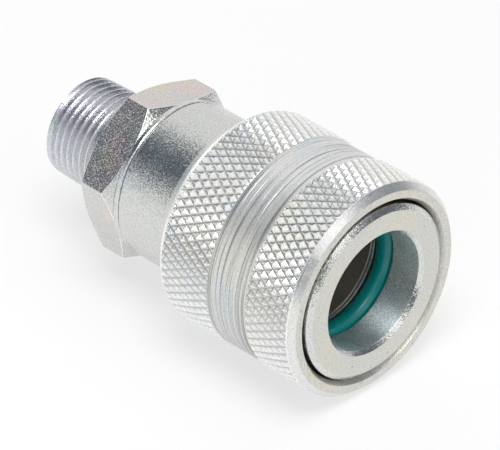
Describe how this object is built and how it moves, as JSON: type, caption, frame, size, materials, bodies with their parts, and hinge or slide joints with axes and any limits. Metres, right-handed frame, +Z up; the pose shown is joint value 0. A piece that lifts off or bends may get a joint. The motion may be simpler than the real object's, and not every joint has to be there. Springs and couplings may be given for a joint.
{
  "type": "quick disconnect coupler",
  "caption": "Ball-lock quick disconnect coupler half with a knurled pull-back sleeve, green front seal, shut-off poppet, spanner hexagon and male pipe thread.",
  "frame": {"origin": "middle of the coupler's length, under its axis, on the surface that the sleeve lies on", "axes": "+X along the axis towards the mouth, +Z up, +Y completes the right-handed set"},
  "size_m": [0.0646, 0.0366, 0.0366],
  "materials": {
    "zinc_plate": "turned steel, clear zinc plate, satin",
    "zinc_plate_face": "faced steel, clear zinc plate, satin, with a polished outer chamfer",
    "knurled_zinc": "diamond knurl and a turned band, clear zinc plate",
    "bright_steel": "polished hardened steel",
    "spring_steel": "drawn wire and stamped plate, bare",
    "seal_green": "moulded teal elastomer, slight sheen",
    "seal_black": "moulded black elastomer, matt",
    "backup_plastic": "off-white PTFE"
  },
  "bodies": {
    "coupler_body": {"hose_adapter": "zinc_plate", "socket_body": "zinc_plate", "nose_ring": "zinc_plate_face", "front_seal": "seal_green", "nipple_seal": "seal_black", "backup_ring": "backup_plastic", "joint_seal": "seal_black", "snap_ring": "spring_steel", "valve_guide": "zinc_plate", "poppet_spring": "spring_steel"},
    "spring_carrier": {"spring_seat": "spring_steel", "sleeve_spring": "spring_steel"},
    "sleeve": {"lock_sleeve": "knurled_zinc"},
    "poppet": {"poppet": "bright_steel", "poppet_seal": "seal_black"},
    "ball_1": {"locking_ball_1": "bright_steel"},
    "ball_2": {"locking_ball_2": "bright_steel"},
    "ball_3": {"locking_ball_3": "bright_steel"},
    "ball_4": {"locking_ball_4": "bright_steel"},
    "ball_5": {"locking_ball_5": "bright_steel"},
    "ball_6": {"locking_ball_6": "bright_steel"},
    "ball_7": {"locking_ball_7": "bright_steel"},
    "ball_8": {"locking_ball_8": "bright_steel"}
  },
  "joints": [
    {"name": "sleeve_spin", "type": "hinge", "parent": "coupler_body", "child": "spring_carrier", "pos_m": [0, 0, 0.0183], "axis": [1, 0, 0], "continuous": true},
    {"name": "sleeve_pull", "type": "slide", "parent": "spring_carrier", "child": "sleeve", "axis": [-1, 0, 0], "range_m": [0, 0.0045], "stiffness_N_per_m": 2000, "springref_m": -0.004, "deforming": ["sleeve_spring"]},
    {"name": "poppet_push", "type": "slide", "parent": "coupler_body", "child": "poppet", "axis": [-1, 0, 0], "range_m": [0, 0.004], "stiffness_N_per_m": 1500, "springref_m": -0.003, "deforming": ["poppet_spring"]},
    {"name": "ball_1_lift", "type": "slide", "parent": "coupler_body", "child": "ball_1", "axis": [0, 1, 0], "range_m": [0, 0.0009]},
    {"name": "ball_2_lift", "type": "slide", "parent": "coupler_body", "child": "ball_2", "axis": [0, 0.7071, 0.7071], "range_m": [0, 0.0009]},
    {"name": "ball_3_lift", "type": "slide", "parent": "coupler_body", "child": "ball_3", "axis": [0, 0, 1], "range_m": [0, 0.0009]},
    {"name": "ball_4_lift", "type": "slide", "parent": "coupler_body", "child": "ball_4", "axis": [0, -0.7071, 0.7071], "range_m": [0, 0.0009]},
    {"name": "ball_5_lift", "type": "slide", "parent": "coupler_body", "child": "ball_5", "axis": [0, -1, 0], "range_m": [0, 0.0009]},
    {"name": "ball_6_lift", "type": "slide", "parent": "coupler_body", "child": "ball_6", "axis": [0, -0.7071, -0.7071], "range_m": [0, 0.0009]},
    {"name": "ball_7_lift", "type": "slide", "parent": "coupler_body", "child": "ball_7", "axis": [0, 0, -1], "range_m": [0, 0.0009]},
    {"name": "ball_8_lift", "type": "slide", "parent": "coupler_body", "child": "ball_8", "axis": [0, 0.7071, -0.7071], "range_m": [0, 0.0009]}
  ],
  "couplings": [
    {"joint": "ball_1_lift", "follows": "sleeve_pull", "ratio": 0.2},
    {"joint": "ball_2_lift", "follows": "sleeve_pull", "ratio": 0.2},
    {"joint": "ball_3_lift", "follows": "sleeve_pull", "ratio": 0.2},
    {"joint": "ball_4_lift", "follows": "sleeve_pull", "ratio": 0.2},
    {"joint": "ball_5_lift", "follows": "sleeve_pull", "ratio": 0.2},
    {"joint": "ball_6_lift", "follows": "sleeve_pull", "ratio": 0.2},
    {"joint": "ball_7_lift", "follows": "sleeve_pull", "ratio": 0.2},
    {"joint": "ball_8_lift", "follows": "sleeve_pull", "ratio": 0.2}
  ]
}
